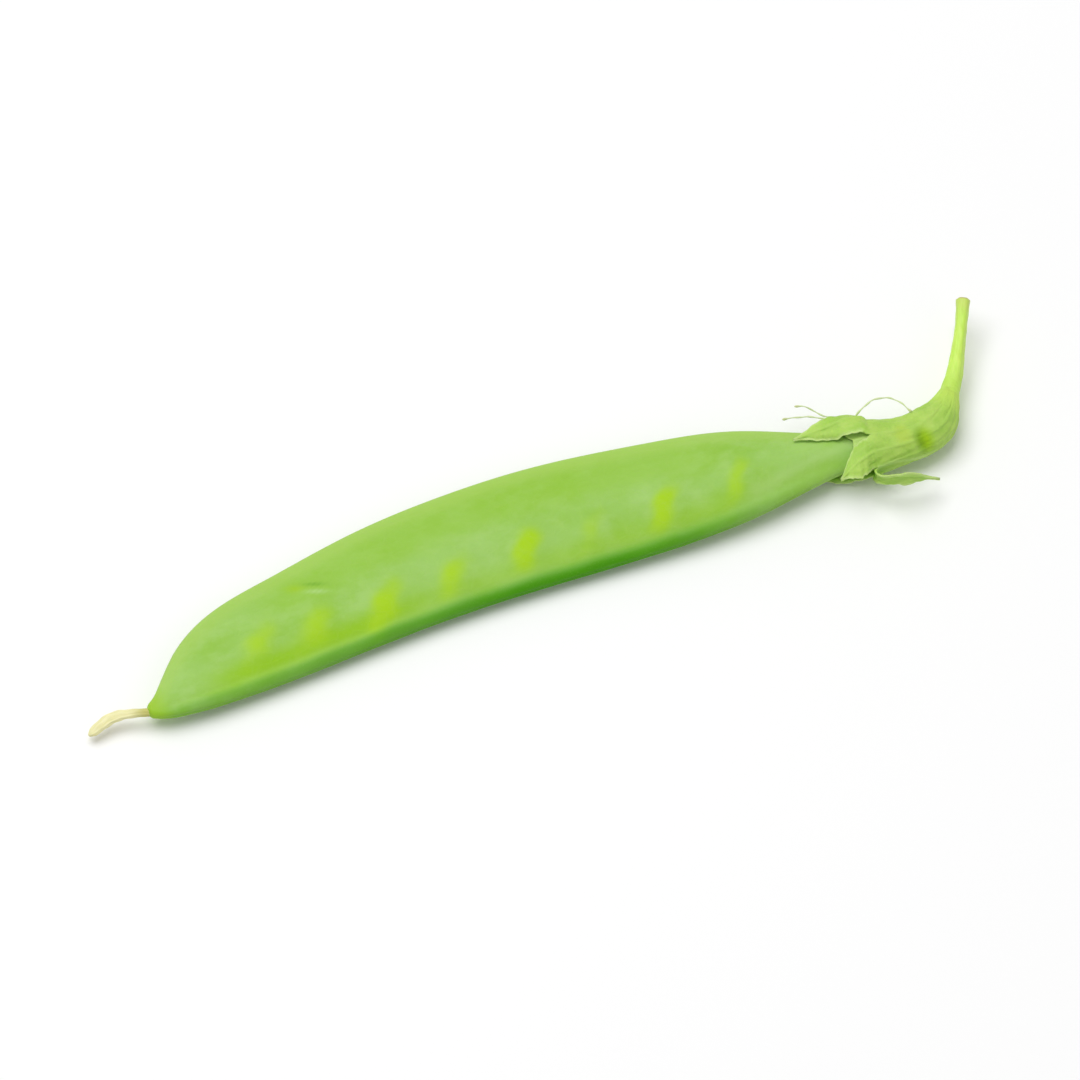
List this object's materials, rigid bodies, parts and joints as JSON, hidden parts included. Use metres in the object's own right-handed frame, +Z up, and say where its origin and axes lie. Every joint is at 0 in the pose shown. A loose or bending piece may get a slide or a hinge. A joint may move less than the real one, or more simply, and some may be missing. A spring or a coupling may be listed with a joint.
{
  "type": "snow pea pod",
  "caption": "Flat edible pea pod lying on its side, with young seeds showing as low swellings, a lobed calyx, a short cut stem and a dried style on its beak.",
  "frame": {"origin": "middle of the bounding box in X and Y, on the surface the pod lies on", "axes": "+X along the pod towards its stem end, +Y towards the arched dorsal edge, +Z up out of the upper side wall"},
  "size_m": [0.1282, 0.023, 0.0071],
  "materials": {
    "pod_skin": "fresh green plant skin with a thin waxy bloom, satin, yellower over the seeds",
    "calyx_green": "pale green leafy tissue, soft matt, with paler thin margins",
    "stem_green": "light yellow-green smooth stem, satin, browned on its cut end",
    "dry_style": "dry cream plant thread, matt"
  },
  "bodies": {
    "root": {"pod": "pod_skin", "calyx": "calyx_green", "stem": "stem_green", "style": "dry_style"}
  },
  "joints": []
}
